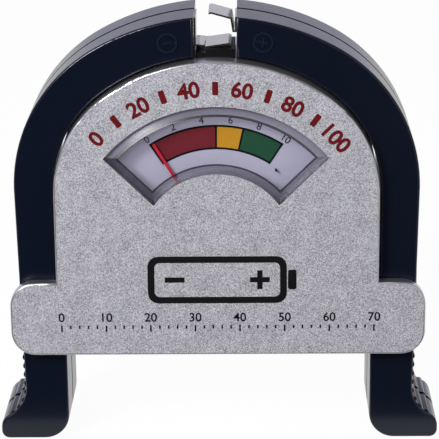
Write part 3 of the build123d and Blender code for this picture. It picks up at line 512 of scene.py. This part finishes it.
# The moulding is dull black. Soft iron is grey and dull, the cast magnet darker and pitted, and
# the hairspring's rolled bronze shines.
black_abs = material("moulded black ABS", "08080A", 0.5, 0.35, 0.15, 0.2,
                     Specular_IOR_Level=0.15)
soft_iron = material("soft iron", "6F6E6C", 0.45, 0.4, 0.12, 0.25, Metallic=1.0)
magnet_alloy = material("cast magnet alloy", "4A4A4C", 0.55, 0.5, 0.2, 0.5, depth=0.04,
                        Metallic=0.8)
bronze = material("phosphor bronze", "A9713C", 0.28, 0.2, 0.06, 0.05, Metallic=1.0)
dress("meter_frame", black_abs)
dress("yoke_ring", soft_iron)
dress("core_magnet", magnet_alloy)
dress("core_holder", aluminium)
dress("front_bridge", aluminium)
dress("front_jewel_screw", brass)
dress("rear_jewel_screw", brass)
dress("front_hairspring", bronze)
dress("meter_screws", steel)


# ---- Circuit ---------------------------------------------------------------------------------
# A green glass-fibre board with two load resistors and a blue preset, wired to the contacts with
# stranded leads in PVC.

# Solder mask and lacquer are thin glossy coats, and moulded plastic and PVC have a satin skin.
green_board = material("green solder mask", "1F5A38", 0.35, 0.5, 0.1, 0.2)
resistor_coat = material("resistor lacquer", "C4A77A", 0.4, 0.3, 0.1, 0.15)
blue_plastic = material("blue moulded plastic", "24509A", 0.4, 0.3, 0.08, 0.15)
red_pvc = material("red PVC insulation", "A3231F", 0.4, 0.3, 0.06, 0.15)
black_pvc = material("black PVC insulation", "17171A", 0.4, 0.3, 0.1, 0.15)
white_pvc = material("white PVC insulation", "D8D6D0", 0.4, 0.3, 0.05, 0.15)
dress("circuit_board", green_board)
dress("load_resistors", resistor_coat)
dress("trimmer", blue_plastic)
dress("board_screws", steel)
dress("right_case_lead", red_pvc)
dress("left_case_lead", black_pvc)
dress("lower_contact_lead", white_pvc)


# ---- Contact block ---------------------------------------------------------------------------
# A black moulding in the crown of the case, with a nickel-plated strip that comes up through it
# and bends over into a short springy tongue for button cells.

# Nickel plate is a slightly warm mirror, rippled by the stamped strip under it.
nickel = material("bright nickel plate", "BEBBAE", 0.2, 0.6, 0.1, 0.6, depth=0.03, Metallic=1.0)
dress("contact_block", black_abs)
dress("lower_contact", nickel)


# ---- Pivots ----------------------------------------------------------------------------------
# Ground steel pins pressed into both covers, solder tags under them, and a torsion spring on
# each that closes its arm.

# Drawn wire is greyer than the ground pins.
spring_wire = material("spring steel wire", "8B8A88", 0.3, 0.3, 0.08, 0.1, Metallic=1.0)
for side in ("left", "right"):
    dress(side + "_pivot_pin", steel)
    spring = dress(side + "_return_spring", spring_wire, rides=False)
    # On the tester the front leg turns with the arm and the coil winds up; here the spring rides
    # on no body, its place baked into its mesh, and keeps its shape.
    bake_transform(spring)
dress("pin_tags", brass)


# ---- Arms ------------------------------------------------------------------------------------
# Each arm is a front and a rear half shell in navy-black ABS, with a soft satin gloss that shows
# on the rounded rims, the grip ribs and the top.

# Satin ABS is almost black face on, and grey where it mirrors the room at a low angle.
navy_abs = material("satin navy ABS", "080F1D", 0.24, 0.3, 0.12, 0.15, Specular_IOR_Level=0.35)
# A band about the groove where the halves meet is painted darker and duller, as painted shade.
groove_painted_shade = material("navy ABS, painted shade at parting groove", "05070C", 0.9, 0.3, 0.1, 0.1,
                      Specular_IOR_Level=0.05)
groove_shade_reach = 0.7
# The raised polarity marks on the tips are painted lighter, a painted highlight, and are a little
# glossier.
marks_painted_highlight = material("navy ABS, marks with painted highlight", "111A2A", 0.2, 0.3, 0.1, 0.1)
mark_height = 0.05
arm_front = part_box("right_front_shell")[0].y


def is_groove(face):
    """Whether a face lies near mid depth, on and beside the parting line's chamfers, where shade
    is painted.
    """
    return abs(face.calc_center_median().y) < groove_shade_reach * MM


def is_mark(face):
    """Whether a face is on the raised marks, at the very front of the arm."""
    return face.calc_center_median().y < arm_front + mark_height * MM


for side in ("left", "right"):
    for half, cut in (("front", -groove_shade_reach), ("rear", groove_shade_reach)):
        dress(f"{side}_{half}_shell", navy_abs,
              others=((groove_painted_shade, is_groove), (marks_painted_highlight, is_mark)), cuts=(cut,))
    dress(side + "_arm_screws", steel)
dress("right_arm_lead", red_pvc)
dress("left_arm_lead", black_pvc)


# ---- Tip contacts ----------------------------------------------------------------------------
# Strips of nickel-plated spring steel, riveted through the arm tips to a tinned terminal plate
# that the lead is soldered to. The plus strip folds back into a sprung tongue.

for sign in ("plus", "minus"):
    dress(sign + "_contact", nickel)
    dress(sign + "_rivets", brass)
    dress(sign + "_terminal", nickel)


# ---- Case screws -----------------------------------------------------------------------------
# Four steel screws with slotted heads, sunk in the rear cover, hold the two covers together round
# everything above. They go in last.

dress("case_screws", steel)


# ---- Table, light and camera -----------------------------------------------------------------
# A white table top that ends just in front of the tester, in a pale room that is bright behind
# the object and dark in front of it, with a soft box to the upper left.

def white_background(tree, plain, glowing):
    """Mixes a shader with a white glow, for camera, glossy and transmission rays alone."""
    path = add(tree, "LightPath")
    share = path.outputs["Is Camera Ray"]
    for ray in ("Is Glossy Ray", "Is Transmission Ray"):
        share = add(tree, "Math", {"operation": "MAXIMUM"},
                    {0: share, 1: path.outputs[ray]}).outputs[0]
    return add(tree, "MixShader", links={"Fac": share, 1: plain, 2: glowing}).outputs[0]


# The table and the lights are in metres.
table_half = 1.5
table_front = cad_low.y - 0.008
table = bmesh.new()
bmesh.ops.create_grid(table, x_segments=1, y_segments=1, size=table_half)
bmesh.ops.translate(table, verts=table.verts, vec=(0, table_half + table_front, 0))
table_data = bpy.data.meshes.new("table top")
table.to_mesh(table_data)
table.free()
table_top = bpy.data.objects.new("table top", table_data)
bpy.context.collection.objects.link(table_top)
# White laminate is matt. All but a trace of it glows, and the trace keeps the shadow.
white = colour("FFFFFF")
laminate = bpy.data.materials.new("white laminate")
laminate.use_nodes = True
laminate_tree = laminate.node_tree
laminate_tree.nodes.clear()
matt = add(laminate_tree, "BsdfDiffuse", {"Color": white}).outputs[0]
glow = add(laminate_tree, "Emission", {"Color": white, "Strength": 1.0}).outputs[0]
partly = add(laminate_tree, "MixShader", {"Fac": 0.96}, {1: matt, 2: glow}).outputs[0]
add(laminate_tree, "OutputMaterial",
    links={"Surface": white_background(laminate_tree, matt, partly)})
table_data.materials.append(laminate)

# The background is plain white. What the object mirrors is bright behind it and to the left, half
# as bright above it, and dark in front.
room = bpy.data.worlds.new("studio")
bpy.context.scene.world = room
room.use_nodes = True
room_tree = room.node_tree
room_tree.nodes.clear()
direction = add(room_tree, "TexCoord").outputs["Generated"]
backwards = add(room_tree, "VectorMath", {"operation": "DOT_PRODUCT", 1: (-0.35, 0.94, 0.0)},
                {0: direction})
behind = add(room_tree, "MapRange",
             {"From Min": -0.25, "From Max": 0.35, "To Min": 0.03, "To Max": 0.85},
             {"Value": backwards.outputs["Value"]})
to_camera = add(room_tree, "LightPath").outputs["Is Camera Ray"]
seen = add(room_tree, "Math", {"operation": "MAXIMUM"},
           {0: behind.outputs["Result"], 1: to_camera}).outputs[0]
sky = add(room_tree, "Mix", {"data_type": "RGBA", "A": colour("E6E6FA"), "B": white},
          {"Factor": to_camera})
plain = add(room_tree, "Background", {"Color": white, "Strength": 0.4}).outputs[0]
bright = add(room_tree, "Background",
             links={"Strength": seen, "Color": sky.outputs["Result"]}).outputs[0]
add(room_tree, "OutputWorld", links={"Surface": white_background(room_tree, plain, bright)})


def soft_box(name, place, target, size, power):
    """A square soft light that faces a point."""
    data = bpy.data.lights.new(name, "AREA")
    data.size = size
    data.energy = power
    lamp = bpy.data.objects.new(name, data)
    lamp.location = place
    lamp.rotation_euler = (target - lamp.location).to_track_quat("-Z", "Y").to_euler()
    bpy.context.collection.objects.link(lamp)


middle = (cad_low + cad_high) / 2
soft_box("upper left soft box", (-0.36, -0.5, 0.42), middle, 0.22, 5.0)
soft_box("right fill", (0.45, -0.4, 0.2), middle, 0.8, 1.4)

camera_data = bpy.data.cameras.new("camera")
camera_data.sensor_width = 36.0
camera_data.lens = 164.0
camera = bpy.data.objects.new("camera", camera_data)
bpy.context.collection.objects.link(camera)
bpy.context.scene.camera = camera
azimuth, elevation, roll = radians(1.0), radians(17.1), radians(0.59)
distance = 440.9
target = middle + Vector((0.65, -14.3, 4.5)) * MM
back = Vector((sin(azimuth) * cos(elevation), -cos(azimuth) * cos(elevation), sin(elevation)))
level = Vector((cos(azimuth), sin(azimuth), 0))
above = back.cross(level)
across = cos(roll) * level - sin(roll) * above
upward = sin(roll) * level + cos(roll) * above
facing = Matrix((across, upward, back)).transposed().to_4x4()
camera.matrix_world = Matrix.Translation(target + back * distance * MM) @ facing
bpy.context.scene.view_settings.view_transform = "Standard"
